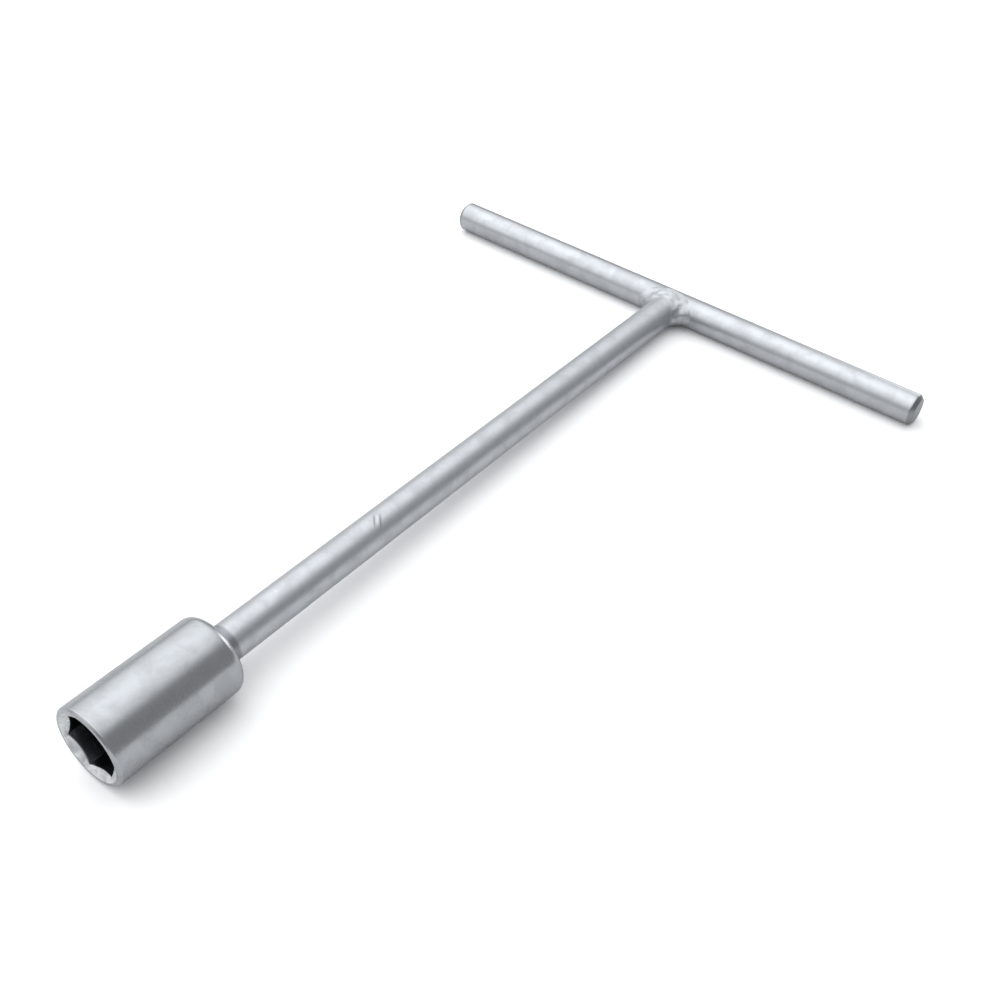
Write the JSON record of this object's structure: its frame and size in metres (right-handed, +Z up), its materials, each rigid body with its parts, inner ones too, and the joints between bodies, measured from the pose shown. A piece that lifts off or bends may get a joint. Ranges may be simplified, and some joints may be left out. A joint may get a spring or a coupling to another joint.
{
  "type": "t-handle socket wrench",
  "caption": "Rigid T-handle wrench: a round crossbar welded across a long round shaft that ends in a turned hexagon socket.",
  "frame": {"origin": "on the surface that the wrench lies on, under the middle of its bounding box", "axes": "+Z up from the surface, +X from the crossbar towards the socket's mouth, +Y along the crossbar; the shaft rises by about 1.6 degrees towards the socket, because the wrench rests on its crossbar and on the socket's back edge"},
  "size_m": [0.2952, 0.212, 0.0266],
  "materials": {
    "plated_rod": "satin bright plating on round steel bar",
    "plated_socket": "satin bright plating on turned steel",
    "plated_weld": "satin bright plating over a weld bead"
  },
  "bodies": {
    "root": {"crossbar": "plated_rod", "crossbar_weld": "plated_weld", "shaft": "plated_rod", "socket_weld": "plated_weld", "socket": "plated_socket"}
  },
  "joints": []
}
